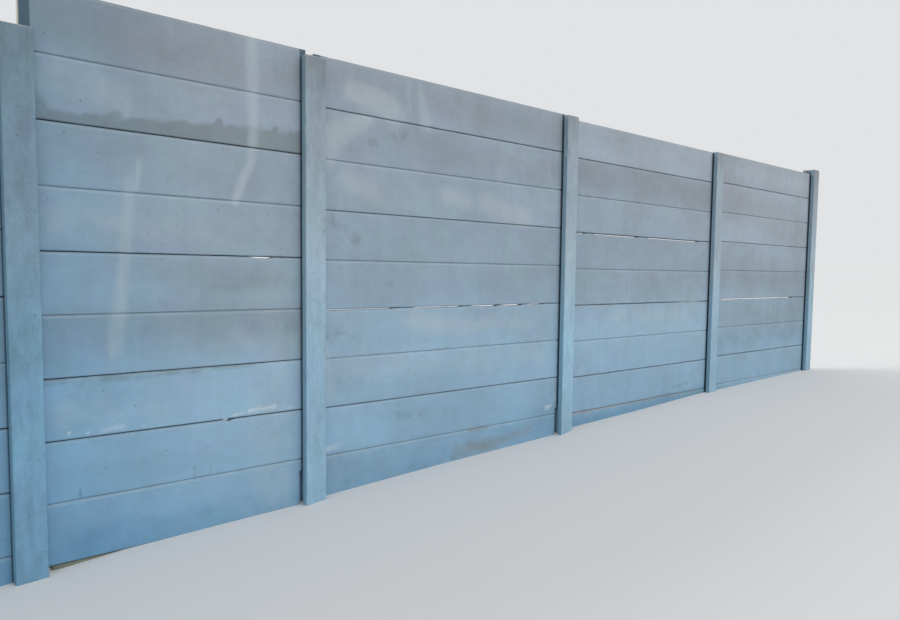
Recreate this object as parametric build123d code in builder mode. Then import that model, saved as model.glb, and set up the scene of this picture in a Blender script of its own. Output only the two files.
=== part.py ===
# Precast concrete wall: H-section posts with flat panels dropped into their slots.
# Millimetres, +Z up. The wall runs along +X and its grooved face looks towards -Y.
# The origin is the centre of the first post's foot, at the lowest ground the wall meets.

from build123d import *
import os

os.makedirs("parts", exist_ok=True)

# Courses: nine show in every bay, and a whole panel is two courses high
course_height = 250
course_count = 9

# Panels
panel_thickness = 40
panel_bevel = 4
groove_width = 12        # a false joint, cut as a V half as deep as it is wide
end_clearance = 5        # from a panel's end to the post's web

# Posts
post_width = 120
front_flange = 34
slot_width = 55
rear_flange = 36
web_thickness = 40
arris_chamfer = 8
mouth_chamfer = 3
root_radius = 5

# Rough sills that close the wall down to the ground under the stepped bays
sill_thickness = 60
sill_setback = 5         # behind the panels' front face
sill_end_gap = 30        # from a sill's end to the post beside it
sill_chamfer = 6

# Bays from left to right: length between post centres, how far the bay has settled, and
# its panels' heights in courses from the bottom up
long_bay = 2050
short_bay = 1320
bays = [
    (long_bay, 0, (2, 1, 2, 2, 2)),
    (short_bay, 0, (2, 1, 2, 2, 2)),
    (long_bay, 8, (2, 2, 2, 2, 1)),
    (long_bay, 27, (2, 2, 2, 2, 1)),
    (long_bay, 13, (2, 2, 2, 2, 1)),
]

# The first bay stands on the lowest ground, and the rest step up from it
step_height = 175

# How far each post's top stands above the top of the lower bay beside it
post_rise = [3, 3, -24, 9, 0, 42]

# Sizes that follow from the ones above
post_depth = front_flange + slot_width + rear_flange
slot_depth = (post_width - web_thickness) / 2
slot_front = -post_depth / 2 + front_flange
slot_back = slot_front + slot_width
slot_middle = (slot_front + slot_back) / 2
panel_front = slot_back - panel_thickness    # the panels lean on the rear flange
panel_middle = slot_back - panel_thickness / 2
sill_middle = panel_front + sill_setback + sill_thickness / 2
groove_side = groove_width / 2 ** 0.5        # a square on its corner cuts the V
wall_height = course_count * course_height
levels = [(step_height if bay else 0) - settled for bay, (length, settled, courses) in enumerate(bays)]


# An upright plane through a piece's foot, seen along the wall: local x is +Y, local y is +Z
def end_view(place):
    return Plane(place, x_dir=(0, 1, 0), z_dir=(1, 0, 0))


# The same, seen from the front: local x is +X, local y is +Z
def front_view(place):
    return Plane(place, x_dir=(1, 0, 0), z_dir=(0, -1, 0))


# An H-section post with its arrises taken off and a slot down each side
def make_post(place, height):
    with BuildPart() as post:
        with BuildSketch(Plane(place)) as section:
            Rectangle(post_width, post_depth)
            chamfer(section.vertices(), arris_chamfer)
            with Locations((-post_width / 2, slot_middle), (post_width / 2, slot_middle)):
                Rectangle(2 * slot_depth, slot_width, mode=Mode.SUBTRACT)
            # The slots' mouth corners lie at the post's sides, their root corners on the web
            corners = section.vertices().filter_by_position(Axis.Y, slot_front - 1, slot_back + 1)
            columns = corners.group_by(Axis.X)
            chamfer(columns[0] + columns[-1], mouth_chamfer)
            web_side = web_thickness / 2
            roots = section.vertices().filter_by_position(Axis.X, -web_side - 1, web_side + 1)
            fillet(roots, root_radius)
        extrude(amount=height)
        # The top arrises, taken off seen from the front and then from the end
        for view, width in ((front_view(place), post_width), (end_view(place), post_depth)):
            with BuildSketch(view) as outline:
                with Locations((0, height / 2)):
                    Rectangle(width, height)
                chamfer(outline.vertices().group_by(Axis.Y)[-1], arris_chamfer)
            extrude(amount=post_width + post_depth, both=True, mode=Mode.INTERSECT)
    return post


# A bevelled panel with a V groove in its front face at each course line inside it
def make_panel(place, length, courses):
    height = courses * course_height
    with BuildPart() as panel:
        with BuildSketch(Plane(place)) as plan:
            Rectangle(length, panel_thickness)
            chamfer(plan.vertices(), panel_bevel)
        extrude(amount=height)
        with BuildSketch(end_view(place)) as section:
            with Locations((0, height / 2)):
                Rectangle(panel_thickness, height)
            chamfer(section.vertices(), panel_bevel)
            for line in range(1, courses):
                with Locations((-panel_thickness / 2, line * course_height)):
                    Rectangle(groove_side, groove_side, rotation=45, mode=Mode.SUBTRACT)
        extrude(amount=length / 2, both=True, mode=Mode.INTERSECT)
    return panel


# A rough concrete sill, its long top arrises knocked off
def make_sill(place, length, height):
    with BuildPart() as sill:
        with BuildSketch(end_view(place)) as section:
            with Locations((0, height / 2)):
                Rectangle(sill_thickness, height)
            chamfer(section.vertices().group_by(Axis.Y)[-1], sill_chamfer)
        extrude(amount=length / 2, both=True)
    return sill


# Labels a finished piece and writes it to its file
def write(piece, name):
    piece.part.label = name
    export_step(piece.part, "parts/" + name + ".step")


# Panels and sills, bay by bay
post_x = 0
for bay, (length, settled, courses) in enumerate(bays, start=1):
    bay_x = post_x + length / 2
    panel_length = length - web_thickness - 2 * end_clearance
    z = levels[bay - 1]
    for number, panel_courses in enumerate(courses, start=1):
        panel = make_panel((bay_x, panel_middle, z), panel_length, panel_courses)
        write(panel, f"bay_{bay}_panel_{number}")
        z += panel_courses * course_height
    if levels[bay - 1] > 0:
        sill_length = length - post_width - 2 * sill_end_gap
        sill = make_sill((bay_x, sill_middle, 0), sill_length, levels[bay - 1])
        write(sill, f"bay_{bay}_sill")
    post_x += length

# Posts, each as tall as the lower bay beside it asks for
post_x = 0
for number, rise in enumerate(post_rise, start=1):
    beside = levels[max(number - 2, 0):number]
    post = make_post((post_x, 0, 0), min(beside) + wall_height + rise)
    write(post, f"post_{number}")
    if number <= len(bays):
        post_x += bays[number - 1][0]
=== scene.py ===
import math
from functools import partial

import bpy
import numpy as np
from mathutils import Matrix, Vector


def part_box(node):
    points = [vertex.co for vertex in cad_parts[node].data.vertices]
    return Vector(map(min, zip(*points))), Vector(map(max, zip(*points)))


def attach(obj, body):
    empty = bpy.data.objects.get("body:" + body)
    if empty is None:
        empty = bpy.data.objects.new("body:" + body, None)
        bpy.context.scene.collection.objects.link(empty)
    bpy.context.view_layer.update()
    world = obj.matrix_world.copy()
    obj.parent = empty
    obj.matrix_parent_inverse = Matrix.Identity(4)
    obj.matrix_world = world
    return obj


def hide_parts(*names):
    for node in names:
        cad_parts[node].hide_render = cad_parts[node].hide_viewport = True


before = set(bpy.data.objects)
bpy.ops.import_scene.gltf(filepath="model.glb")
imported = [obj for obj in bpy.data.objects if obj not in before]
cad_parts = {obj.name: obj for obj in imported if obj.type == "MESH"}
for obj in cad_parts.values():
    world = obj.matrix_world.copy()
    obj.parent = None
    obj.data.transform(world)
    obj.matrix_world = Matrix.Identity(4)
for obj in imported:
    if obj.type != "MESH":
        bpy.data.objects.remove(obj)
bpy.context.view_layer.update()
print("frame loaded:", len(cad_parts), "nodes")


# Adds a node with its settings and links. Its inputs are sockets, nodes or plain values, in the node's
# own order, or in one dictionary by name or number; a kind in capitals is an operation of the Math node.
def addNode(tree, kind, *inputs, **settings):
    if kind.isupper():
        kind, settings = "ShaderNodeMath", {"operation": kind}
    node = tree.nodes.new(kind)
    for name, value in settings.items():
        setattr(node, name, value)
    named = inputs[0] if inputs and isinstance(inputs[0], dict) else dict(enumerate(inputs))
    for socket, source in named.items():
        if isinstance(source, bpy.types.Node):
            source = source.outputs[0]
        if isinstance(source, bpy.types.NodeSocket):
            tree.links.new(source, node.inputs[socket])
        else:
            node.inputs[socket].default_value = source
    return node


# An sRGB hex colour as the linear colour that the shader takes
def linearColor(hexColor):
    channels = [int(hexColor[i:i + 2], 16) / 255 for i in (1, 3, 5)]
    linear = [c / 12.92 if c <= 0.04045 else ((c + 0.055) / 1.055) ** 2.4 for c in channels]
    return (*linear, 1)


# Camera: where the photograph was taken from, in the frame's metres and degrees
cameraView = {
    "place": (1.093, -3.318, 1.357),
    "lens": 31.84,        # in millimetres, as the sensor's width is
    "sensor": 36,
    "turn": 44.52,        # from straight at the wall, towards its right end
    "tilt": 4.50,         # downwards
    "roll": -0.66,
    "shift": 0.0291,      # the photograph was cropped at its lower edge
}


def placeCamera(view):
    turn, tilt, roll = (math.radians(view[name]) for name in ("turn", "tilt", "roll"))
    forward = Vector((math.sin(turn) * math.cos(tilt), math.cos(turn) * math.cos(tilt), -math.sin(tilt)))
    level = Vector((math.cos(turn), -math.sin(turn), 0))
    below = forward.cross(level)
    right = level * math.cos(roll) + below * math.sin(roll)
    up = level * math.sin(roll) - below * math.cos(roll)
    axes = Matrix((right, up, -forward)).transposed()
    data = bpy.data.cameras.new("photoCamera")
    data.lens = view["lens"]
    data.sensor_width = view["sensor"]
    data.shift_y = view["shift"]
    camera = bpy.data.objects.new("photoCamera", data)
    camera.matrix_world = Matrix.Translation(view["place"]) @ axes.to_4x4()
    bpy.context.scene.collection.objects.link(camera)
    bpy.context.scene.camera = camera


placeCamera(cameraView)
print("camera placed")


# Gives a new tree its inputs, with the value each starts from; one without a value takes geometry
def openTree(name, sockets):
    tree = bpy.data.node_groups.new(name, "GeometryNodeTree")
    kinds = {float: "Float", int: "Int", tuple: "Vector", type(None): "Geometry"}
    for socket, value in sockets.items():
        made = tree.interface.new_socket(
            socket, in_out="INPUT", socket_type="NodeSocket" + kinds[type(value)])
        if value is not None:
            made.default_value = value
    tree.interface.new_socket("Material", in_out="INPUT", socket_type="NodeSocketMaterial")
    tree.interface.new_socket("Geometry", in_out="OUTPUT", socket_type="NodeSocketGeometry")
    return tree


# Ends a tree: keeps the values that the concrete reads, moves the points and sets the material
def closeTree(tree, shape, place, marks):
    add = partial(addNode, tree)
    given = add("NodeGroupInput").outputs
    for name, value in marks.items():
        shape = add("GeometryNodeStoreNamedAttribute", {"Geometry": shape, "Name": name, "Value": value},
                    data_type="FLOAT", domain="POINT")
    placed = add("ShaderNodeVectorMath", place, given["Centre"], operation="ADD")
    shaped = add("GeometryNodeSetPosition", {"Geometry": shape, "Position": placed})
    real = add("GeometryNodeRealizeInstances", shaped)
    finished = add("GeometryNodeSetMaterial", {"Geometry": real, "Material": given["Material"]})
    add("NodeGroupOutput", finished)
    return tree


sharpAngle = 38         # degrees between two faces, past which their edge stays sharp


# Runs a tree on an object and keeps the result as its plain mesh
def growPiece(name, tree, values, material, start=None):
    piece = bpy.data.objects.new(name, start or bpy.data.meshes.new(name))
    bpy.context.scene.collection.objects.link(piece)
    modifier = piece.modifiers.new(tree.name, "NODES")
    modifier.node_group = tree
    wanted = dict(values, Material=material)
    for item in tree.interface.items_tree:
        if item.in_out == "INPUT" and item.name in wanted:
            modifier[item.identifier] = wanted[item.name]
    graph = bpy.context.evaluated_depsgraph_get()
    mesh = bpy.data.meshes.new_from_object(
        piece.evaluated_get(graph), preserve_all_data_layers=True, depsgraph=graph)
    piece.modifiers.clear()
    piece.data = mesh
    mesh.name = name
    mesh.shade_smooth()
    mesh.set_sharp_from_angle(angle=math.radians(sharpAngle))
    return piece


# Cast slab: what a wall panel and a sill share, in metres. A noise is given by its cells per metre and
# its detail, and a noise's share by the noise's low and high values and the shares that they give.
slab = {
    "columnStep": 0.0125,
    "rowsPerCourse": 20,
    "crowding": 0.85,            # how far the rows draw in to the course lines, from 0 to 1
    "layers": 5,                 # vertices through the thickness
    "slowNoise": (6.0, 3.0),
    "chipNoise": (26.0, 2.0),
    "faceNoise": (2.2, 2.0),
    "lineWander": 0.0012,
    "wanderNoiseRange": (0.2, 0.8),
    "grooveWidth": 0.0115,
    "grooveDepth": 0.0058,
    "grooveFloor": 0.0005,       # half the flat at a groove's bottom
    "grooveMargin": 0.05,        # grooves keep this far from the slab's foot and top
    "arris": 0.003,
    "chip": 0.0055,
    "chipNoiseRange": (0.60, 0.74),
    "jointGap": 0.0026,          # taken off each panel's foot, in front of the strip that bears
    "topGapShare": 0.5,          # and this much of it off the top
    "gapNoiseShare": (0.25, 0.75, 0.75, 1.3),
    "bearing": 0.024,            # that strip's width, at the back of the joint
    "gapReach": 0.030,           # how far from the edge the rows make room for the gap
    "unevenness": 0.0012,
    "breakReach": 0.16,          # how far from a panel's end a broken corner starts
    "breakRagged": 0.012,        # how far its upper edge strays
    "breakNoiseRange": (0.3, 0.7),
    "openRuns": 5,               # how many runs of daylight a joint may have
    "openTaper": 0.035,          # how far a run takes to open
    "openNoiseShare": (0.30, 0.50, 0.55, 1.0),
    "hair": 0.001,               # what still counts as lying on the front face
}


# A slab with a groove at each course line, worn arrises and recessed joints at its edges
def makeSlabTree(slab):
    tree = openTree("castSlabShape", {
        "Length": 2.0, "Thickness": 0.04, "Height": 0.5, "Courses": 2, "Columns": 161,
        "Courses Below": 0.0, "Groove Width": 0.012, "Groove Depth": 0.006, "Arris": 0.003,
        "Chip": 0.005, "Joint Gap": 0.0025, "Unevenness": 0.001, "Open Height": 0.0,
        "Broken Back": 0.0, "Broken Height": 0.0, "Centre": (0.0, 0.0, 0.0), "Tone": 0.0, "Seed": 0.0,
        **{f"Open Run {run}": (0.0, 0.0, 0.0) for run in range(slab["openRuns"])},
    })
    add = partial(addNode, tree)
    given = add("NodeGroupInput").outputs
    box = add("GeometryNodeMeshCube", {
        "Size": add("ShaderNodeCombineXYZ", given["Length"], given["Thickness"], given["Height"]),
        "Vertices X": given["Columns"], "Vertices Y": slab["layers"],
        "Vertices Z": add("MULTIPLY_ADD", given["Courses"], slab["rowsPerCourse"], 1),
    })
    x, y, z = add("ShaderNodeSeparateXYZ", add("GeometryNodeInputPosition")).outputs
    halfLength, halfThick, halfHeight = (
        add("MULTIPLY", given[size], 0.5) for size in ("Length", "Thickness", "Height"))

    # Rows crowd towards the course lines: level counts courses up from the slab's foot
    courseSize = add("DIVIDE", given["Height"], given["Courses"])
    evenLevel = add("DIVIDE", add("ADD", z, halfHeight), courseSize)
    swing = add("SINE", add("MULTIPLY", evenLevel, 2 * math.pi))
    level = add("MULTIPLY_ADD", swing, -slab["crowding"] / (2 * math.pi), evenLevel)
    height = add("SUBTRACT", add("MULTIPLY", level, courseSize), halfHeight)

    # Slow noise along the slab, quick noise for chips, and broad noise for the faces
    spot = add("ShaderNodeCombineXYZ", x, y, height)
    slowNoise, chipNoise, faceNoise = (
        add("ShaderNodeTexNoise", {"Vector": spot, "W": given["Seed"], "Scale": slab[noise][0],
                                   "Detail": slab[noise][1]}, noise_dimensions="4D")
        for noise in ("slowNoise", "chipNoise", "faceNoise"))

    # Grooves: a V with a narrow floor, on the front face at each course line inside the slab
    aboveFoot = add("ADD", height, halfHeight)
    edgeDistance = add("MINIMUM", aboveFoot, add("SUBTRACT", halfHeight, height))
    offLine = add("MULTIPLY", add("SUBTRACT", level, add("ROUND", level)), courseSize)
    wander = add("ShaderNodeMapRange", slowNoise, *slab["wanderNoiseRange"],
                 -slab["lineWander"], slab["lineWander"])
    lineDistance = add("ABSOLUTE", add("ADD", offLine, wander))
    grooveShape = add("ShaderNodeMapRange", lineDistance, slab["grooveFloor"],
                      add("MULTIPLY", given["Groove Width"], 0.5), given["Groove Depth"], 0.0)
    inside = add("GREATER_THAN", edgeDistance, slab["grooveMargin"])
    isFront = add("LESS_THAN", y, add("SUBTRACT", slab["hair"], halfThick))
    groove = add("MULTIPLY", add("MULTIPLY", grooveShape, inside), isFront)

    # Arrises: rounded, and knocked off further where the chip noise runs high
    endDistance = add("SUBTRACT", halfLength, add("ABSOLUTE", x))
    chips = add("ShaderNodeMapRange", chipNoise, *slab["chipNoiseRange"], 0.0, given["Chip"])
    radius = add("ADD", given["Arris"], chips)
    rimReach = add("SUBTRACT", radius, add("MINIMUM", edgeDistance, endDistance))
    reach = add("MAXIMUM", rimReach, 0.0)
    arcSquare = add("SUBTRACT", add("MULTIPLY", radius, radius), add("MULTIPLY", reach, reach))
    inset = add("SUBTRACT", radius, add("SQRT", add("MAXIMUM", arcSquare, 0.0)))
    faceLimit = add("SUBTRACT", halfThick, inset)
    kept = add("MAXIMUM", add("MINIMUM", y, faceLimit), add("MULTIPLY", faceLimit, -1.0))
    swell = add("SUBTRACT", faceNoise, 0.5)
    newY = add("MULTIPLY_ADD", swell, given["Unevenness"], add("ADD", kept, groove))

    # Joints: the edge falls back in front of its bearing strip, and right through where daylight shows
    inJoint = add("LESS_THAN", y, add("SUBTRACT", halfThick, slab["bearing"]))
    isTop = add("GREATER_THAN", height, 0.0)
    gapNoise = add("ShaderNodeMapRange", slowNoise, *slab["gapNoiseShare"])
    gapHere = add("MULTIPLY", given["Joint Gap"], gapNoise)
    gapEdge = add("MULTIPLY", gapHere, add("MULTIPLY_ADD", isTop, slab["topGapShare"] - 1, 1.0))
    openRange = 0.0
    for run in range(slab["openRuns"]):
        start, end, share = add("ShaderNodeSeparateXYZ", given[f"Open Run {run}"]).outputs
        within = add("MINIMUM", add("SUBTRACT", x, start), add("SUBTRACT", end, x))
        openHere = add("ShaderNodeMapRange", within, 0.0, slab["openTaper"], 0.0, share,
                       interpolation_type="SMOOTHSTEP")
        openRange = add("MAXIMUM", openRange, openHere)
    openNoise = add("ShaderNodeMapRange", slowNoise, *slab["openNoiseShare"])
    openGap = add("MULTIPLY", add("MULTIPLY", openRange, openNoise), given["Open Height"])
    gap = add("MAXIMUM", add("MULTIPLY", gapEdge, inJoint), add("MULTIPLY", openGap, isTop))
    nearEdge = add("ShaderNodeMapRange", edgeDistance, 0.0, slab["gapReach"], 1.0, 0.0)
    gapFall = add("MULTIPLY", add("MULTIPLY", gap, nearEdge), add("SIGN", height))
    newZ = add("SUBTRACT", height, gapFall)

    # A broken lower corner at the right end: the end falls back below a ragged line
    ragged = add("ShaderNodeMapRange", chipNoise, *slab["breakNoiseRange"],
                 -slab["breakRagged"], slab["breakRagged"])
    belowBreak = add("SUBTRACT", add("ADD", given["Broken Height"], ragged), aboveFoot)
    breakUp = add("ShaderNodeMapRange", belowBreak, 0.0, slab["breakRagged"])
    toRight = add("SUBTRACT", halfLength, x)
    breakAlong = add("ShaderNodeMapRange", toRight, 0.0, slab["breakReach"], 1.0, 0.0)
    breakBack = add("MULTIPLY", add("MULTIPLY", breakUp, breakAlong), given["Broken Back"])
    newX = add("SUBTRACT", x, breakBack)

    return closeTree(tree, box.outputs["Mesh"], add("ShaderNodeCombineXYZ", newX, newY, newZ), {
        "courseLevel": add("ADD", level, given["Courses Below"]),
        "castNumber": given["Seed"], "castTone": given["Tone"],
        "endDistance": add("SUBTRACT", halfLength, add("ABSOLUTE", newX)),
    })


courseHeight = 0.25

# What the three concretes share. A noise is given by its cells per metre, detail and roughness, and a
# range by where a mask starts and where it is full: in metres, in a noise's value, or in how squarely
# the surface faces a way, from 0 to 1.
mixture = {
    "driftNoise": (1.7, 3.0, 0.5),
    "tintNoise": (5.0, 5.0, 0.6),
    "lineNoise": (4.0, 5.0, 0.65),
    "stainNoise": (1.0, 6.0, 0.62),  # each stain's own perMetre gives its cells
    "noiseRange": (0.3, 0.7),        # where most of a noise's values lie
    "driftRange": (0.42, 0.72),
    "tintRange": (0.35, 0.65),
    "dryRange": (4.0, 8.5),          # along the wall
    "coolRange": (2.9, 2.0),
    "plainRange": (2.1, 0.0),
    "arrisRange": (0.20, 0.60),      # facing upwards
    "sideRange": (0.60, 0.90),       # facing along the wall
    "backRange": (0.50, 0.80),
    "topRange": (0.75, 0.95),
    "frontRange": (0.008, 0.0),      # through the wall: lines and slots mark a panel's front only
    "holeEdge": 0.02,                # in cells
    "holeLean": 0.5,
    "lineNoiseShare": (0.3, 0.65, 0.45, 1.0),    # low and high values, and the shares they give
    "lineRange": (0.0072, 0.0025),   # from a course line
    "lessDarkBelow": 0.4,              # how much of a line's darkness is taken off below it, where it faces up to the light: painted light
    "lipRange": (0.003, 0.007),
    "lipEndRange": (0.016, 0.008),
    "slotShadeRange": (0.038, 0.034),     # from a panel's end
    "leastPaint": 0.001,             # a stain's noise shows only where more than this is painted
    "roughnessSpread": 0.06,
    "specular": 0.3,
}


# Concrete in layers: height colours clouded by noise, then coats, air holes, joint grime and painted shade,
# and stains
def mixConcrete(name, finish):
    material = bpy.data.materials.new(name)
    material.use_nodes = True
    tree = material.node_tree
    add = partial(addNode, tree)
    smooth = {"interpolation_type": "SMOOTHSTEP"}
    coordinates = add("ShaderNodeTexCoord").outputs
    where = coordinates["Object"]
    alongWall, through, up = add("ShaderNodeSeparateXYZ", where).outputs
    facingAlong, facingBack, facingUp = add("ShaderNodeSeparateXYZ", coordinates["Normal"]).outputs
    number, castTone, level, toEnd = (
        add("ShaderNodeAttribute", attribute_name=mark).outputs["Fac"]
        for mark in ("castNumber", "castTone", "courseLevel", "endDistance"))
    driftNoise, tintNoise, lineNoise = (
        add("ShaderNodeTexNoise", {"Vector": where, "W": number, "Scale": scale, "Detail": detail,
                                   "Roughness": rough}, noise_dimensions="4D")
        for scale, detail, rough in (mixture["driftNoise"], mixture["tintNoise"], mixture["lineNoise"]))

    # Height colours. On panels and posts this is painted light: the blue cast of sky-lit shade, strongest
    # at the ground and fading to grey at the top; the sill's are its own earth colours
    lowest, highest = finish["heights"][0][0], finish["heights"][-1][0]
    ramp = add("ShaderNodeValToRGB", add("ShaderNodeMapRange", up, lowest, highest))
    stops = ramp.color_ramp.elements
    while len(stops) < len(finish["heights"]):
        stops.new(0.5)
    for stop, (height, hexColor) in zip(stops, finish["heights"]):
        stop.position = (height - lowest) / (highest - lowest)
        stop.color = linearColor(hexColor)

    # Tone: each course and each cast differs a little, the wall's far end is painted lighter as painted
    # light along the wall, and layers of noise cloud it
    courseSeed = add("ShaderNodeCombineXYZ", add("FLOOR", level), number)
    courseRandom = add("ShaderNodeTexWhiteNoise", courseSeed, noise_dimensions="2D")
    courseTone = finish["courseTone"]
    tone = add("ShaderNodeMapRange", courseRandom, 0.0, 1.0, 1 - courseTone, 1 + courseTone)
    paintedFarLightTone = add("ShaderNodeMapRange", alongWall, *mixture["dryRange"], 0.0, finish["paintedFarLightTone"], **smooth)
    tone = add("ADD", add("ADD", tone, castTone), paintedFarLightTone)
    relief = 0.0
    for layer in finish["layers"]:
        stretched = add("ShaderNodeVectorMath", where, layer["perMetre"], operation="MULTIPLY")
        noise = add("ShaderNodeTexNoise", {"Vector": stretched, "W": number, "Scale": 1.0,
                                           "Detail": layer["detail"], "Roughness": layer["rough"]},
                    noise_dimensions="4D")
        shade = add("ShaderNodeMapRange", noise, *layer.get("range", mixture["noiseRange"]),
                    layer.get("base", -layer["tone"]), layer["tone"])
        tone = add("ADD", tone, shade)
        if "relief" in layer:
            relief = add("MULTIPLY_ADD", noise, layer["relief"], relief)
    color = add("ShaderNodeVectorMath", {0: ramp, "Scale": tone}, operation="SCALE")

    # The cement skin runs faintly green in places and faintly pink in others
    tintShare = add("ShaderNodeMapRange", tintNoise, *mixture["tintRange"])
    tint = add("ShaderNodeMix", {0: tintShare, 4: finish["greenTint"], 5: finish["pinkTint"]},
               data_type="VECTOR").outputs[1]
    color = add("ShaderNodeVectorMath", color, tint, operation="MULTIPLY")

    # Coats, laid over one another: a browner cast in broad drifts, the far end painted lighter as painted
    # light, the near end painted in bluish shade, the plain first bay, up-facing faces painted paler as a
    # painted highlight, ends and sides painted as sunlit on panels and as shaded on posts, a sun-dried
    # back, and tops painted pale as sunlit
    sideways = add("ABSOLUTE", facingAlong)
    wallTop = add("MULTIPLY", facingUp, add("GREATER_THAN", level, finish["topLevel"]))
    coats = []
    for coat, reading, blend, curve in (
            ("drift", driftNoise, "MULTIPLY", {}), ("dry", alongWall, "MULTIPLY", smooth),
            ("cool", alongWall, "MULTIPLY", smooth), ("plain", alongWall, "MIX", smooth),
            ("arris", facingUp, "MIX", {}), ("side", sideways, "MIX", {}), ("back", facingBack, "MIX", {}),
            ("top", wallTop, "MIX", {})):
        share = finish[coat + "Share"]
        mask = add("ShaderNodeMapRange", reading, *mixture[coat + "Range"], 0.0, share, **curve)
        coats.append((mask, finish[coat + "Color"], blend))

    # Air holes, each a few millimetres across, in some cells only; the flat cells lean so that they
    # cross the front, the sides and the top alike. Each hole is painted dark inside: painted shade in the
    # pit
    holePlace = add("ShaderNodeCombineXYZ", add("ADD", alongWall, through),
                    add("MULTIPLY_ADD", through, mixture["holeLean"], up))
    cells = add("ShaderNodeTexVoronoi", {"Vector": holePlace, "Scale": 1 / finish["holeSpacing"]},
                voronoi_dimensions="2D").outputs
    cellRandom = add("ShaderNodeSeparateColor", cells["Color"])
    holeSize = add("ShaderNodeMapRange", cellRandom, 1 - finish["holeShare"], 1.0, 0.0,
                   finish["holeRadius"] / finish["holeSpacing"])
    hole = add("ShaderNodeMapRange", add("SUBTRACT", holeSize, cells["Distance"]), 0.0, mixture["holeEdge"])
    coats.append((add("MULTIPLY", hole, finish["holeShade"]), finish["holeShadeColor"], "MIX"))

    # Grime and painted shade in the course lines, darker above each line than below, and a pale lip below
    # each, a painted highlight where it faces up; on the front face only
    share = add("FRACT", level)
    below = add("GREATER_THAN", share, 0.5)
    awayFromMiddle = add("ABSOLUTE", add("SUBTRACT", share, 0.5))
    toLine = add("MULTIPLY_ADD", awayFromMiddle, -courseHeight, courseHeight / 2)
    isFront = add("ShaderNodeMapRange", through, *mixture["frontRange"])
    patchy = add("MULTIPLY", add("ShaderNodeMapRange", lineNoise, *mixture["lineNoiseShare"]), isFront)
    dirtAndShade = add("ShaderNodeMapRange", toLine, *mixture["lineRange"], 0.0, finish["lineDirtAndShade"], **smooth)
    darkKept = add("MULTIPLY_ADD", below, -mixture["lessDarkBelow"], 1.0)
    coats.append((add("MULTIPLY", add("MULTIPLY", dirtAndShade, patchy), darkKept), finish["lineColor"], "MIX"))
    lipRise = add("ShaderNodeMapRange", toLine, *mixture["lipRange"], 0.0, finish["lipHighlightShare"], **smooth)
    lipFall = add("ShaderNodeMapRange", toLine, *mixture["lipEndRange"], **smooth)
    lip = add("MULTIPLY", add("MULTIPLY", lipRise, lipFall), add("MULTIPLY", below, patchy))
    coats.append((lip, finish["lipHighlightColor"], "MIX"))

    # Inside the slots the panels' faces are painted dark, a painted shade, so that a dark line shows beside
    # each post
    inSlotShade = add("ShaderNodeMapRange", toEnd, *mixture["slotShadeRange"], 0.0, finish["slotShade"])
    coats.append((add("MULTIPLY", inSlotShade, isFront), finish["slotShadeColor"], "MIX"))

    # Stains painted on the piece, their edges broken up by noise
    for stain, look in finish["stains"].items():
        painted = add("ShaderNodeAttribute", attribute_name=stain).outputs["Fac"]
        stretched = add("ShaderNodeVectorMath", where, look["perMetre"], operation="MULTIPLY")
        scale, detail, rough = mixture["stainNoise"]
        noise = add("ShaderNodeTexNoise", {"Vector": stretched, "Scale": scale, "Detail": detail,
                                           "Roughness": rough})
        broken = add("MULTIPLY_ADD", add("SUBTRACT", noise, 0.5), look["ragged"], painted)
        held = add("MULTIPLY", add("GREATER_THAN", painted, mixture["leastPaint"]), look["share"])
        mask = add("ShaderNodeMapRange", broken, *look["range"], 0.0, held, **smooth)
        coats.append((mask, look["color"], look["blend"]))

    for mask, hexColor, blend in coats:
        color = add("ShaderNodeMix", {0: mask, 6: color, 7: linearColor(hexColor)},
                    data_type="RGBA", blend_type=blend).outputs[2]
    spread = mixture["roughnessSpread"]
    roughness = add("ShaderNodeMapRange", driftNoise, *mixture["noiseRange"],
                    finish["roughness"] - spread, finish["roughness"] + spread)
    surface = add("MULTIPLY_ADD", hole, -finish["holeDepth"], relief)
    bump = add("ShaderNodeBump", {"Height": surface, "Strength": 1.0, "Distance": 1.0})
    shader = tree.nodes["Principled BSDF"].inputs
    tree.links.new(color, shader["Base Color"])
    tree.links.new(roughness.outputs[0], shader["Roughness"])
    tree.links.new(bump.outputs[0], shader["Normal"])
    shader["Specular IOR Level"].default_value = mixture["specular"]
    return material


# Stains that a panel may carry: perMetre is how many noise cells fit a metre each way, ragged how far
# they break its edge, and range how much paint it takes to start and to be full
wallStains = {
    "warmFilm": {"color": "#e8dfd9", "blend": "MULTIPLY", "share": 0.55,
                 "perMetre": (4, 4, 6), "ragged": 0.9, "range": (0.10, 1.00)},
    "dampFilm": {"color": "#dfddd6", "blend": "MULTIPLY", "share": 1.0,
                 "perMetre": (15, 15, 19), "ragged": 0.9, "range": (0.26, 0.70)},
    "footFilm": {"color": "#d0e2e6", "blend": "MULTIPLY", "share": 1.0,
                 "perMetre": (4, 4, 6), "ragged": 0.8, "range": (0.10, 1.00)},
    "paleDrift": {"color": "#bcc6c6", "blend": "MIX", "share": 0.34,
                  "perMetre": (8, 8, 8), "ragged": 1.1, "range": (0.10, 1.15)},
    "limeRun": {"color": "#b9c6ca", "blend": "MIX", "share": 0.42,
                "perMetre": (26, 26, 4), "ragged": 1.1, "range": (0.10, 1.45)},
    "saltBloom": {"color": "#d3dde1", "blend": "MIX", "share": 0.55,
                  "perMetre": (38, 38, 70), "ragged": 1.5, "range": (0.25, 1.35)},
    "rustMark": {"color": "#ffdccb", "blend": "MULTIPLY", "share": 1.0,
                 "perMetre": (14, 14, 26), "ragged": 1.1, "range": (0.05, 1.5)},
}

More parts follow.
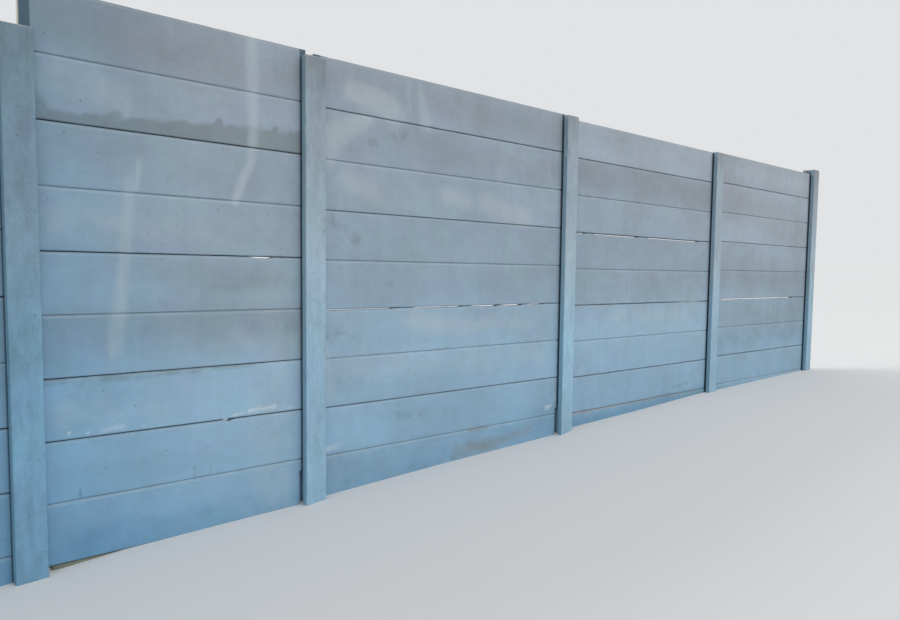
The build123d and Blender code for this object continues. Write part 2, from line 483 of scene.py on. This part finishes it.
# Precast concrete off a smooth steel mould: a pale, matt cement skin, clouded, with few air holes
panelFinish = {
    # Colours by height, with the blue cast of sky-lit shade painted in, strongest at the ground
    "heights": [(0.15, "#7fa6c3"), (0.50, "#8aacc5"), (0.95, "#91aec4"), (1.35, "#90a5b6"),
                (2.42, "#94a0ac")],
    "courseTone": 0.035,
    "layers": [
        # Clouds of 400 to 650 mm, a hand's breadth, and rain streaks 40 mm wide
        {"perMetre": (1.5, 1.5, 2.6), "detail": 4.0, "rough": 0.55, "tone": 0.055},
        {"perMetre": (7, 7, 9), "detail": 6.0, "rough": 0.62, "tone": 0.048},
        {"perMetre": (24, 24, 2.2), "detail": 3.0, "rough": 0.60, "tone": 0.022},
        # Dark blots of 60 to 80 mm, and level marks of the casting 33 mm apart
        {"perMetre": (13, 13, 17), "detail": 5.0, "rough": 0.6, "tone": -0.075, "base": 0.0,
         "range": (0.58, 0.72)},
        {"perMetre": (1.3, 1.3, 30), "detail": 4.0, "rough": 0.60, "tone": 0.016, "relief": 0.0006},
        # Mottle of 30 mm, and sand grains of 1 mm, too fine to show and so drawn 7 mm wide
        {"perMetre": (34, 34, 34), "detail": 5.0, "rough": 0.65, "tone": 0.026, "relief": 0.0008},
        {"perMetre": (150, 150, 150), "detail": 3.0, "rough": 0.6, "tone": 0.030, "relief": 0.0005},
    ],
    "driftColor": "#e9e1da", "driftShare": 0.60,
    # The wall's far end is painted warmer and lighter: painted light along the wall
    "dryColor": "#f6eee8", "dryShare": 0.60, "paintedFarLightTone": 0.15,
    # The wall's near end is painted in a bluish shade: painted shade along the wall
    "coolColor": "#d4ebf6", "coolShare": 0.90,
    "plainColor": "#929fa8", "plainShare": 0.65,
    "greenTint": (0.985, 1.022, 0.990), "pinkTint": (1.015, 0.978, 1.010),
    # Faces that look upwards, upper arrises and the lower flanks of grooves, are painted paler: a painted
    # highlight
    "arrisColor": "#c8dce8", "arrisShare": 0.24,
    # Panel ends are painted pale cream: a painted highlight of sun on them
    "sideColor": "#d9d4c4", "sideShare": 0.80,
    "backColor": "#a2a4a1", "backShare": 0.65,
    # Tops are painted pale cream: a painted highlight of sun on them
    "topColor": "#d4d0c0", "topShare": 0.60, "topLevel": 8.9,      # in courses, so only the wall's own top
    # Air holes are painted dark inside: painted shade in the pits
    "holeSpacing": 0.065, "holeShare": 0.11, "holeRadius": 0.0036, "holeShade": 0.42,
    "holeShadeColor": "#4a555c", "holeDepth": 0.0025,
    # Course lines are painted dark: part grime, part painted shade under the edge above
    "lineDirtAndShade": 0.50, "lineColor": "#5d6d76",
    # The pale lip below each line is a painted highlight
    "lipHighlightShare": 0.16, "lipHighlightColor": "#c6d2cf",
    # The panels' faces inside the slots are painted dark teal: painted shade
    "slotShade": 0.75, "slotShadeColor": "#2f4f60",
    "stains": wallStains,
    "roughness": 0.86,
}

# Posts cast in a rougher mould: more air holes, scrapes across them, patches of laitance
postFinish = dict(
    panelFinish,
    # Colours by height, with the blue cast of sky-lit shade painted in low down, and darker towards the top
    heights=[(0.15, "#8aaec4"), (0.90, "#91b3c9"), (1.50, "#9aafbe"), (2.20, "#8e9da8"), (2.36, "#86929b"),
             (2.46, "#828c94")],
    courseTone=0.0,
    layers=[
        # Streaks 70 mm wide and blotches of 40 to 90 mm
        {"perMetre": (14, 14, 2.4), "detail": 4.0, "rough": 0.6, "tone": 0.10},
        {"perMetre": (26, 26, 11), "detail": 6.0, "rough": 0.65, "tone": 0.12},
        # Pale and dark scrapes about 10 mm high, and a gritty skin, its 1 mm sand drawn 8 mm wide to show
        {"perMetre": (14, 14, 110), "detail": 4.0, "rough": 0.6, "tone": 0.09, "base": 0.0,
         "range": (0.58, 0.74), "relief": 0.0010},
        {"perMetre": (16, 16, 80), "detail": 4.0, "rough": 0.6, "tone": -0.13, "base": 0.0,
         "range": (0.60, 0.76)},
        {"perMetre": (120, 120, 120), "detail": 3.0, "rough": 0.6, "tone": 0.045, "relief": 0.0007},
    ],
    arrisShare=0.0,
    # Post sides are painted a darker teal: painted shade
    sideColor="#6c97ab", sideShare=0.40,
    # Post tops are painted pale cream: a painted highlight of sun on them
    topColor="#cfccbe", topShare=0.45, topLevel=-1.0,
    holeSpacing=0.046, holeShare=0.15, lineDirtAndShade=0.0, lipHighlightShare=0.0, slotShade=0.0, stains={},
    roughness=0.88,
)

# Rough site-made sills: sandy, earth-stained concrete with an open grain
sillFinish = dict(
    panelFinish,
    heights=[(0.0, "#7d7a68"), (0.18, "#8f8c79")],
    courseTone=0.05,
    layers=[
        # Lumps of 125 to 200 mm, stones of 17 mm, and coarse sand drawn 6 mm wide to show
        {"perMetre": (5, 5, 8), "detail": 5.0, "rough": 0.6, "tone": 0.12, "relief": 0.002},
        {"perMetre": (60, 60, 60), "detail": 5.0, "rough": 0.7, "tone": 0.10, "relief": 0.003},
        {"perMetre": (180, 180, 180), "detail": 3.0, "rough": 0.6, "tone": 0.06, "relief": 0.0012},
    ],
    arrisShare=0.0, sideShare=0.0, topShare=0.0, backShare=0.0,
    holeSpacing=0.025, holeShare=0.45, lineDirtAndShade=0.0, lipHighlightShare=0.0, slotShade=0.0, stains={},
    roughness=0.94,
)

panelConcrete = mixConcrete("steelMouldPanelConcrete", panelFinish)
postConcrete = mixConcrete("roughMouldPostConcrete", postFinish)
sillConcrete = mixConcrete("siteMadeSillConcrete", sillFinish)
print("concretes mixed")

# Strokes of each stain on the panels' front: points along the wall and up from the frame's level, the
# stroke's width at its start and end, in metres, and how much paint it lays down there. A stroke with
# a panel's name stays on that panel.
strokes = {
    "limeRun": [
        ([(3.05, 2.43), (3.052, 2.2), (3.056, 1.99), (3.04, 1.86), (2.96, 1.675)],
         (0.105, 0.065), (0.95, 1.25)),
        ([(3.06, 2.19), (3.06, 2.02)], (0.045, 0.05), (1.3, 1.4)),
        ([(2.518, 1.81), (2.505, 1.69)], (0.038, 0.034), (0.8, 1.0)),
        ([(2.47, 1.72), (2.46, 1.55), (2.44, 1.3), (2.4, 1.02)], (0.08, 0.11), (0.8, 0.8)),
        ([(2.67, 2.38), (2.66, 2.19)], (0.06, 0.08), (0.45, 0.2)),
        ([(4.085, 2.38), (4.1, 2.3), (4.14, 2.19)], (0.07, 0.16), (0.7, 1.0)),
        ([(4.005, 2.38), (4.01, 2.22)], (0.05, 0.07), (0.6, 0.5)),
        ([(4.72, 2.06), (4.75, 1.93)], (0.06, 0.12), (0.4, 0.5)),
        ([(5.22, 2.06), (5.27, 1.93)], (0.05, 0.1), (0.4, 0.45)),
        ([(8.78, 1.14), (8.78, 0.93)], (0.07, 0.09), (0.5, 0.3)),
    ],
    "paleDrift": [
        ([(2.2, 2.1), (2.44, 2.04)], (0.26, 0.22), (0.5, 0.6)),
        ([(3.14, 0.3), (3.16, 1.65)], (0.44, 0.36), (0.55, 0.45)),
        ([(2.98, 1.04), (3.28, 1.02)], (0.2, 0.24), (0.5, 0.6)),
        ([(2.2, 1.55), (3.2, 1.5)], (0.26, 0.24), (0.45, 0.45)),
        ([(2.2, 0.78), (2.6, 0.74)], (0.2, 0.18), (0.45, 0.45)),
        ([(3.62, 2.28), (3.9, 2.22)], (0.16, 0.24), (1.1, 1.2)),
        ([(3.44, 1.98), (3.52, 2.04), (3.72, 2.15)], (0.3, 0.12), (1.5, 1.1), "bay_3_panel_4"),
        ([(3.6, 1.84), (3.78, 1.76)], (0.2, 0.2), (0.8, 0.7)),
        ([(4.3, 1.8), (4.48, 1.78)], (0.16, 0.16), (0.8, 0.8)),
        ([(4.62, 1.78), (5.02, 1.72)], (0.22, 0.2), (0.8, 0.9)),
        ([(4.06, 1.09), (4.44, 1.05)], (0.2, 0.18), (0.8, 0.8)),
        ([(4.5, 1.06), (5.1, 1.05)], (0.16, 0.14), (0.7, 0.6)),
        ([(3.6, 0.86), (5.2, 0.84)], (0.26, 0.26), (0.55, 0.45)),
        ([(3.45, 0.96), (3.47, 0.72)], (0.12, 0.14), (0.8, 0.8)),
        ([(6.0, 1.07), (7.0, 1.04)], (0.18, 0.18), (0.5, 0.5)),
        ([(7.68, 2.3), (9.4, 2.28)], (0.2, 0.2), (0.4, 0.6)),
    ],
    "warmFilm": [
        ([(2.15, 2.32), (2.75, 2.27), (3.3, 2.3)], (0.36, 0.3), (0.9, 0.5)),
        ([(2.2, 1.13), (2.8, 1.1), (3.28, 1.12)], (0.32, 0.32), (0.8, 0.9)),
        ([(2.6, 1.35), (3.28, 1.3)], (0.2, 0.24), (0.5, 0.6)),
        ([(3.5, 2.33), (5.3, 2.28)], (0.26, 0.3), (0.5, 0.7)),
        ([(3.8, 2.06), (5.3, 2.02)], (0.26, 0.26), (0.4, 0.5)),
        ([(3.46, 0.34), (3.9, 0.35)], (0.3, 0.24), (0.7, 0.4)),
        ([(5.6, 2.05), (7.35, 2.02)], (0.34, 0.34), (0.8, 1.0)),
        ([(5.6, 2.3), (7.35, 2.28)], (0.34, 0.34), (0.5, 0.2)),
        ([(5.6, 1.3), (7.35, 1.3)], (0.5, 0.5), (0.5, 0.6)),
        ([(7.6, 2.05), (9.4, 1.8)], (0.6, 0.6), (0.7, 1.1)),
        ([(7.6, 1.4), (9.4, 1.3)], (0.6, 0.6), (0.7, 1.0)),
        ([(7.6, 0.95), (9.4, 0.95)], (0.5, 0.5), (0.6, 0.9)),
    ],
    "footFilm": [
        ([(2.3, 0.2), (3.3, 0.22)], (0.34, 0.26), (0.7, 0.4)),
        ([(3.45, 0.22), (4.4, 0.28)], (0.24, 0.26), (0.3, 0.5)),
        ([(4.5, 0.33), (5.36, 0.36)], (0.3, 0.46), (0.3, 0.55)),
        ([(5.5, 0.3), (7.4, 0.36)], (0.2, 0.2), (0.8, 0.8)),
        ([(7.58, 0.78), (9.42, 0.78)], (0.28, 0.28), (0.45, 0.45)),
    ],
    "dampFilm": [
        ([(2.07, 2.04), (2.15, 1.98)], (0.12, 0.14), (0.4, 0.46), "bay_2_panel_5"),
        ([(2.1, 1.94), (2.5, 1.94)], (0.12, 0.12), (0.62, 0.85), "bay_2_panel_5"),
        ([(2.5, 1.94), (2.8, 1.95)], (0.12, 0.15), (0.9, 0.95), "bay_2_panel_5"),
        ([(2.8, 1.95), (3.34, 1.955)], (0.16, 0.24), (0.95, 0.95), "bay_2_panel_5"),
        ([(2.41, 1.94), (2.436, 1.98)], (0.18, 0.09), (0.75, 0.58), "bay_2_panel_5"),
        ([(2.73, 1.95), (2.724, 1.985)], (0.15, 0.07), (0.9, 0.8), "bay_2_panel_5"),
        ([(2.875, 1.96), (2.884, 2.025)], (0.17, 0.05), (0.95, 0.9), "bay_2_panel_5"),
        ([(3.165, 1.97), (3.17, 2.02)], (0.18, 0.06), (0.9, 0.8), "bay_2_panel_5"),
        ([(2.1, 0.92), (2.55, 0.915), (3.1, 0.92)], (0.11, 0.06), (0.58, 0.42), "bay_2_panel_2"),
        ([(2.252, 0.472), (2.252, 0.44)], (0.022, 0.026), (0.55, 0.65)),
        ([(2.742, 0.482), (2.742, 0.44)], (0.026, 0.028), (0.6, 0.65)),
        ([(2.821, 0.472), (2.821, 0.44)], (0.022, 0.026), (0.55, 0.6)),
        ([(2.6, 1.22), (2.9, 1.3)], (0.1, 0.12), (0.3, 0.34)),
        ([(3.75, 2.03), (3.98, 2.1)], (0.14, 0.14), (0.4, 0.42)),
        ([(3.5, 1.62), (3.66, 1.52)], (0.12, 0.16), (0.42, 0.42)),
        ([(3.44, 1.04), (3.6, 1.06)], (0.14, 0.12), (0.42, 0.36)),
        ([(3.8, 0.58), (4.3, 0.56)], (0.14, 0.12), (0.36, 0.34)),
        ([(6.9, 0.46), (7.12, 0.47)], (0.06, 0.07), (0.5, 0.45)),
    ],
    "saltBloom": [
        ([(2.213, 0.7), (2.215, 0.7)], (0.018, 0.018), (1.6, 1.6)),
        ([(2.282, 0.694), (2.284, 0.694)], (0.018, 0.018), (1.6, 1.6)),
        ([(2.34, 0.697), (2.43, 0.704)], (0.036, 0.04), (0.8, 0.8)),
        ([(2.512, 0.696), (2.518, 0.696)], (0.024, 0.024), (0.9, 0.9)),
        ([(2.93, 0.69), (2.99, 0.695)], (0.024, 0.026), (0.8, 1.1)),
        ([(3.02, 0.704), (3.16, 0.707)], (0.036, 0.04), (1.0, 1.0)),
        ([(3.24, 0.69), (3.27, 0.692)], (0.024, 0.024), (0.7, 0.7)),
        ([(3.43, 0.455), (3.58, 0.46)], (0.07, 0.05), (0.9, 0.6)),
        ([(5.25, 0.47), (5.3, 0.473)], (0.055, 0.05), (1.1, 1.0)),
        ([(5.33, 0.57), (5.37, 0.45)], (0.03, 0.03), (0.7, 0.7)),
        ([(7.01, 0.49), (7.15, 0.49)], (0.03, 0.035), (0.5, 0.5)),
    ],
    "rustMark": [
        ([(4.4, 0.29), (4.56, 0.306), (4.74, 0.296)], (0.18, 0.14), (0.75, 0.9)),
        ([(4.54, 0.304), (4.66, 0.298)], (0.11, 0.09), (1.15, 1.25)),
        ([(4.66, 0.3), (4.86, 0.318), (5.1, 0.352)], (0.12, 0.1), (0.95, 0.65)),
        ([(4.51, 0.411), (4.68, 0.414)], (0.034, 0.028), (1.1, 0.9)),
        ([(3.9, 0.24), (4.3, 0.262)], (0.08, 0.09), (0.3, 0.5)),
        ([(5.5, 0.396), (6.3, 0.396), (7.35, 0.396)], (0.034, 0.03), (1.3, 0.8), "bay_4_panel_1"),
    ],
}
strokeReach = 0.62      # how far from its path a stroke has faded out, as a share of its width
paintDepth = 0.004      # panels are painted on what lies in front of this, through the wall


# How much paint a stroke lays on each point: most along its path, fading out on both sides
def coverStroke(along, up, path, width, strength):
    cover = np.zeros(len(along))
    for index, ((x1, z1), (x2, z2)) in enumerate(zip(path, path[1:])):
        dx, dz = x2 - x1, z2 - z1
        share = np.clip(((along - x1) * dx + (up - z1) * dz) / (dx * dx + dz * dz), 0, 1)
        away = np.hypot(along - x1 - share * dx, up - z1 - share * dz)
        onPath = (index + share) / (len(path) - 1)
        widthHere, strengthHere = (ends[0] + (ends[1] - ends[0]) * onPath for ends in (width, strength))
        fade = np.clip(1 - (away / (widthHere * strokeReach)) ** 2, 0, 1)
        cover = np.maximum(cover, strengthHere * fade * fade)
    return cover


def paintStains(piece, node):
    mesh = piece.data
    spots = np.zeros(len(mesh.vertices) * 3)
    mesh.vertices.foreach_get("co", spots)
    along, through, up = spots.reshape(-1, 3).T
    for stain, painted in strokes.items():
        cover = np.zeros(len(along))
        for path, width, strength, *panel in painted:
            if panel in ([], [node]):
                cover = np.maximum(cover, coverStroke(along, up, path, width, strength))
        layer = mesh.attributes.new(stain, "FLOAT", "POINT")
        layer.data.foreach_set("value", np.where(through < paintDepth, cover, 0).astype(np.float32))


# Casts that came out lighter or darker than their neighbours
castTones = {
    "bay_2_panel_1": 0.02, "bay_2_panel_2": 0.05, "bay_2_panel_4": 0.015,
    "bay_3_panel_2": 0.05, "bay_3_panel_3": -0.02, "bay_3_panel_5": -0.05,
    "bay_4_panel_2": -0.02, "bay_4_panel_3": -0.02, "bay_4_panel_5": 0.09,
    "bay_5_panel_1": -0.06, "bay_5_panel_2": -0.08, "bay_5_panel_4": 0.085,
    "post_2": -0.13, "post_3": 0.03, "post_4": 0.08, "post_5": 0.02, "post_6": -0.05,
}

# Joints that daylight shows through: the panel below, and each run's start and end along the wall
# with its share of the full opening
daylight = {
    "bay_2_panel_1": [(2.885, 2.95, 1.2)],
    "bay_2_panel_3": [(3.03, 3.17, 1.0)],
    "bay_3_panel_2": [(3.46, 3.93, 0.50), (4.06, 4.46, 0.66), (4.53, 4.77, 0.90), (4.80, 5.00, 0.85),
                      (5.04, 5.22, 0.50)],
    "bay_4_panel_2": [(6.98, 7.42, 0.45)],
    "bay_4_panel_3": [(5.55, 5.67, 0.90), (5.73, 6.33, 1.00), (6.43, 7.24, 1.00)],
    "bay_5_panel_2": [(7.66, 9.18, 1.15)],
}
daylightHeight = 0.0073     # the full opening

# Panels that sit closer to their neighbours than the rest
jointGaps = {
    "bay_2_panel_3": 0.0019, "bay_3_panel_2": 0.0016, "bay_3_panel_3": 0.0015, "bay_3_panel_4": 0.0015,
    "bay_4_panel_5": 0.0018, "bay_5_panel_3": 0.0012, "bay_5_panel_4": 0.0014,
}

# Panels whose lower right corner is broken off: how far back from the end, and how far up
brokenCorners = {
    "bay_2_panel_1": (0.041, 0.212),
    "bay_3_panel_1": (0.046, 0.305),
}

slabTree = makeSlabTree(slab)


# A cast slab in a node's box, with the values that differ between panels and sills
def makeSlab(node, number, material, changes):
    low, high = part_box(node)
    centre = (low + high) / 2
    runs = {f"Open Run {run}": (start - centre.x, end - centre.x, share)
            for run, (start, end, share) in enumerate(daylight.get(node, []))}
    brokenBack, brokenHeight = brokenCorners.get(node, (0.0, 0.0))
    piece = growPiece("cast_" + node, slabTree, {
        "Length": high.x - low.x, "Thickness": high.y - low.y, "Height": high.z - low.z,
        "Columns": round((high.x - low.x) / slab["columnStep"]) + 1,
        "Open Height": daylightHeight if node in daylight else 0.0,
        "Broken Back": brokenBack, "Broken Height": brokenHeight,
        "Centre": tuple(centre), "Tone": castTones.get(node, 0.0), "Seed": float(number), **runs, **changes,
    }, material)
    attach(piece, "root")
    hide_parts(node)
    return piece


def makePanel(node, number):
    low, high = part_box(node)
    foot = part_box(node[:6] + "panel_1")[0].z
    piece = makeSlab(node, number, panelConcrete, {
        "Courses": round((high.z - low.z) / courseHeight),
        "Courses Below": (low.z - foot) / courseHeight,
        "Groove Width": slab["grooveWidth"], "Groove Depth": slab["grooveDepth"],
        "Arris": slab["arris"], "Chip": slab["chip"], "Joint Gap": jointGaps.get(node, slab["jointGap"]),
        "Unevenness": slab["unevenness"],
    })
    paintStains(piece, node)
    return piece


# A sill is a slab of one course, rougher, with its long edges knocked about
sill = {"arris": 0.006, "chip": 0.009, "unevenness": 0.006}


def makeSill(node, number):
    return makeSlab(node, number, sillConcrete, {
        "Courses": 1, "Courses Below": 0.0, "Groove Width": 0.0, "Groove Depth": 0.0, "Joint Gap": 0.0,
        "Arris": sill["arris"], "Chip": sill["chip"], "Unevenness": sill["unevenness"],
    })


# Each cast's number seeds its noise; these are the first of each kind
firstNumber = {"panel": 1, "sill": 41, "post": 61}
panelNodes, sillNodes, postNodes = (
    sorted(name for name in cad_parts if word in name) for word in firstNumber)
panels = [makePanel(node, number) for number, node in enumerate(panelNodes, firstNumber["panel"])]
sills = [makeSill(node, number) for number, node in enumerate(sillNodes, firstNumber["sill"])]
print("slabs made:", len(panels), "panels and", len(sills), "sills")

# H-section post, in metres, with the flange, slot and web of the part's source
post = {
    "frontFlange": 0.034,
    "slotWidth": 0.055,
    "webThickness": 0.040,
    "arris": 0.008,
    "mouthRound": 0.003,
    "rootRound": 0.005,
    "pointStep": 0.016,          # between points along the section's straight sides
    "rowStep": 0.014,
    "chipNoise": 22.0,           # cells per metre
    "faceNoise": 5.0,
    "noiseDetail": 3.0,
    "chip": 0.007,
    "chipNoiseRange": (0.61, 0.76),
    "chipSpread": 1.6,           # chips die away this many arris widths from the corner
    "chipExtra": 0.5,            # this share of a chip's depth is cut away once more
    "topRound": 0.010,
    "topCrowd": 0.030,           # rows draw in to the top within about this reach
    "unevenness": 0.0016,
}


# The section's corners as arcs, with points along its straight sides, in metres round its own centre
def postSection(width, depth):
    halfWidth, halfDepth, halfWeb = width / 2, depth / 2, post["webThickness"] / 2
    slotFront = -halfDepth + post["frontFlange"]
    slotBack = slotFront + post["slotWidth"]
    arris, mouth, root = post["arris"], post["mouthRound"], post["rootRound"]
    rightSide = [
        (halfWidth, -halfDepth, arris), (halfWidth, slotFront, mouth), (halfWeb, slotFront, root),
        (halfWeb, slotBack, root), (halfWidth, slotBack, mouth), (halfWidth, halfDepth, arris),
    ]
    corners = rightSide + [(-x, y, size) for x, y, size in reversed(rightSide)]
    arcs = []
    for index, (x, y, size) in enumerate(corners):
        corner = Vector((x, y))
        before = Vector(corners[index - 1][:2]) - corner
        after = Vector(corners[(index + 1) % len(corners)][:2]) - corner
        arcs.append((corner + before.normalized() * size, corner, corner + after.normalized() * size))
    points = []
    for (start, corner, end), (nextStart, *_) in zip(arcs, arcs[1:] + arcs[:1]):
        # Three steps round the corner, on a curve that leans on it, then the straight side
        for share in (0, 1 / 3, 2 / 3, 1):
            points.append(start * (1 - share) ** 2 + corner * 2 * share * (1 - share) + end * share ** 2)
        run = nextStart - end
        count = int(run.length / post["pointStep"])
        points += [end + run * (i + 1) / (count + 1) for i in range(count)]
    return points


# A section swept upright, with chipped arrises, a rounded top and slightly uneven faces
def makePostTree(post):
    tree = openTree("castPostShape", {
        "Section": None, "Height": 2.4, "Rows": 160, "Half Width": 0.06, "Half Depth": 0.0625,
        "Arris": 0.008, "Chip": 0.006, "Top Round": 0.01, "Unevenness": 0.001,
        "Centre": (0.0, 0.0, 0.0), "Tone": 0.0, "Seed": 0.0,
    })
    add = partial(addNode, tree)
    given = add("NodeGroupInput").outputs
    section = add("GeometryNodeMeshToCurve", {"Mesh": given["Section"]})
    top = add("ShaderNodeCombineXYZ", {"Z": given["Height"]})
    line = add("GeometryNodeCurvePrimitiveLine", {"End": top})
    rows = add("GeometryNodeResampleCurve", {"Curve": line, "Count": given["Rows"]})
    swept = add("GeometryNodeCurveToMesh", {"Curve": rows, "Profile Curve": section, "Fill Caps": True})
    x, y, z = add("ShaderNodeSeparateXYZ", add("GeometryNodeInputPosition")).outputs

    # Rows crowd towards the top
    down = add("SUBTRACT", given["Height"], z)
    pull = add("DIVIDE", down, add("ADD", down, post["topCrowd"]))
    pullHere = add("MULTIPLY", pull, add("DIVIDE", z, given["Height"]))
    newZ = add("MULTIPLY_ADD", pullHere, post["topCrowd"], z)

    # Chips, and a slow unevenness that only takes away
    spot = add("ShaderNodeCombineXYZ", x, y, newZ)
    chipNoise, faceNoise = (
        add("ShaderNodeTexNoise", {"Vector": spot, "W": given["Seed"], "Scale": post[noise],
                                   "Detail": post["noiseDetail"]}, noise_dimensions="4D")
        for noise in ("chipNoise", "faceNoise"))
    chips = add("ShaderNodeMapRange", chipNoise, *post["chipNoiseRange"], 0.0, given["Chip"])
    sides = [(given["Half Width"], x, add("ABSOLUTE", x)), (given["Half Depth"], y, add("ABSOLUTE", y))]
    offCorner = add("ADD", *(add("SUBTRACT", half, out) for half, place, out in sides))
    chipReach = add("MULTIPLY", given["Arris"], post["chipSpread"])
    atArris = add("ShaderNodeMapRange", offCorner, given["Arris"], chipReach, 1.0, 0.0)
    arrisChip = add("MULTIPLY", chips, atArris)

    # Rounded top: how far the sides stand back near it
    topIn = add("MAXIMUM", add("SUBTRACT", given["Top Round"], add("SUBTRACT", given["Height"], newZ)), 0.0)
    topInset = add("DIVIDE", add("MULTIPLY", topIn, topIn), given["Top Round"])
    uneven = add("MULTIPLY", faceNoise, given["Unevenness"])
    inset = add("ADD", add("ADD", arrisChip, uneven), topInset)
    moved = []
    for half, place, out in sides:
        kept = add("MINIMUM", out, add("SUBTRACT", half, inset))
        chipped = add("MULTIPLY_ADD", arrisChip, -post["chipExtra"], kept)
        moved.append(add("MULTIPLY", chipped, add("SIGN", place)))
    return closeTree(tree, swept, add("ShaderNodeCombineXYZ", *moved, newZ),
                     {"castNumber": given["Seed"], "castTone": given["Tone"]})


postTree = makePostTree(post)


def makePost(node, number):
    low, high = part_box(node)
    points = postSection(high.x - low.x, high.y - low.y)
    section = bpy.data.meshes.new("postSection")
    edges = [(i, (i + 1) % len(points)) for i in range(len(points))]
    section.from_pydata([(*point, 0) for point in points], edges, [])
    piece = growPiece("cast_" + node, postTree, {
        "Height": high.z - low.z, "Rows": round((high.z - low.z) / post["rowStep"]),
        "Half Width": (high.x - low.x) / 2, "Half Depth": (high.y - low.y) / 2,
        "Arris": post["arris"], "Chip": post["chip"], "Top Round": post["topRound"],
        "Unevenness": post["unevenness"], "Centre": ((low.x + high.x) / 2, (low.y + high.y) / 2, low.z),
        "Tone": castTones.get(node, 0.0), "Seed": float(number),
    }, postConcrete, section)
    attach(piece, "root")
    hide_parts(node)
    return piece


posts = [makePost(node, number) for number, node in enumerate(postNodes, firstNumber["post"])]
print("posts made:", len(posts))

# Stage: a pale floor that rises to the right as the ground does, and soft studio light
stageLook = {
    "floorColor": "#dbdcdd",
    "floorHeight": 0.147,      # at the second post
    "floorRise": 0.0345,       # for each metre to the right
    "floorReach": 80,
    "evenBeyond": (0.0, 12.0),  # along the wall: outside these the slope is even
    "banks": (0.0, 0.15, 0.4, 0.8, 1.6),    # rows of points from the ground line out to the even slope
    "floorSpecular": 0.1,
    "skyStrength": 0.72,
    "backColor": "#e1e3e5",
}

# Where the ground meets the wall's face: along the wall, and up from the frame's level
groundLine = [
    (2.05, 0.150), (2.16, 0.156), (2.45, 0.177), (2.84, 0.187), (3.30, 0.197), (3.47, 0.212), (4.27, 0.243),
    (5.35, 0.274), (5.54, 0.300), (6.41, 0.326), (7.45, 0.368), (7.70, 0.364), (9.60, 0.400),
]


# A floor whose slope is even far from the wall, and follows the ground line beside it
def makeFloor(look):
    reach = look["floorReach"]
    startX = groundLine[0][0]
    low, high = look["evenBeyond"]
    stops = [(-reach, None), (low, None)] + groundLine + [(high, None), (reach, None)]
    last = len(look["banks"]) - 1
    behind = [(y, 1 - i / last) for i, y in enumerate(look["banks"])] + [(reach, 0.0)]
    rows = [(-y, share) for y, share in reversed(behind)] + behind[1:]
    spots = []
    for x, ground in stops:
        even = look["floorHeight"] + look["floorRise"] * (x - startX)
        bank = 0.0 if ground is None else ground - even
        spots += [(x, y, even + bank * share * share * (3 - 2 * share)) for y, share in rows]
    wide = len(rows)
    faces = [(i * wide + j, (i + 1) * wide + j, (i + 1) * wide + j + 1, i * wide + j + 1)
             for i in range(len(stops) - 1) for j in range(wide - 1)]
    mesh = bpy.data.meshes.new("floor")
    mesh.from_pydata(spots, [], faces)
    mesh.shade_smooth()
    floor = bpy.data.objects.new("floor", mesh)
    bpy.context.scene.collection.objects.link(floor)
    material = bpy.data.materials.new("paleFloor")
    material.use_nodes = True
    shader = material.node_tree.nodes["Principled BSDF"].inputs
    shader["Base Color"].default_value = linearColor(look["floorColor"])
    shader["Roughness"].default_value = 1.0
    shader["Specular IOR Level"].default_value = look["floorSpecular"]
    mesh.materials.append(material)


# Even light from all round, and a pale backdrop where the camera or a reflection sees it
def makeSky(look):
    world = bpy.data.worlds.new("studioSky")
    bpy.context.scene.world = world
    world.use_nodes = True
    tree = world.node_tree
    tree.nodes.clear()
    rays = addNode(tree, "ShaderNodeLightPath").outputs
    seen = rays["Is Camera Ray"]
    for ray in ("Is Glossy Ray", "Is Transmission Ray"):
        seen = addNode(tree, "MAXIMUM", seen, rays[ray])
    light = addNode(tree, "ShaderNodeBackground", (1, 1, 1, 1), look["skyStrength"])
    back = addNode(tree, "ShaderNodeBackground", linearColor(look["backColor"]), 1.0)
    addNode(tree, "ShaderNodeOutputWorld", addNode(tree, "ShaderNodeMixShader", seen, light, back))


makeFloor(stageLook)
makeSky(stageLook)

# Broad, soft lamps: a key from the front, one from behind left, and a panel near the right end
suns = {
    "keyLamp": {"from": (0.0, -1.0, 0.75), "strength": 0.82, "spread": 50},
    "backLamp": {"from": (-0.7, 1.0, 0.8), "strength": 1.1, "spread": 30},
}
sidePanel = {"place": (12.0, -8.0, 7.0), "target": (8.0, 0.0, 1.3), "size": 5.0, "power": 70}


# A lamp that shines from a direction
def hangLamp(name, kind, energy, fromWhere):
    data = bpy.data.lights.new(name, kind)
    data.energy = energy
    lamp = bpy.data.objects.new(name, data)
    lamp.rotation_euler = Vector(fromWhere).to_track_quat("Z", "Y").to_euler()
    bpy.context.scene.collection.objects.link(lamp)
    return lamp


for name, look in suns.items():
    hangLamp(name, "SUN", look["strength"], look["from"]).data.angle = math.radians(look["spread"])
place = Vector(sidePanel["place"])
lamp = hangLamp("sidePanel", "AREA", sidePanel["power"], place - Vector(sidePanel["target"]))
lamp.data.size = sidePanel["size"]
lamp.location = place
bpy.context.scene.view_settings.view_transform = "Standard"
print("stage lit")
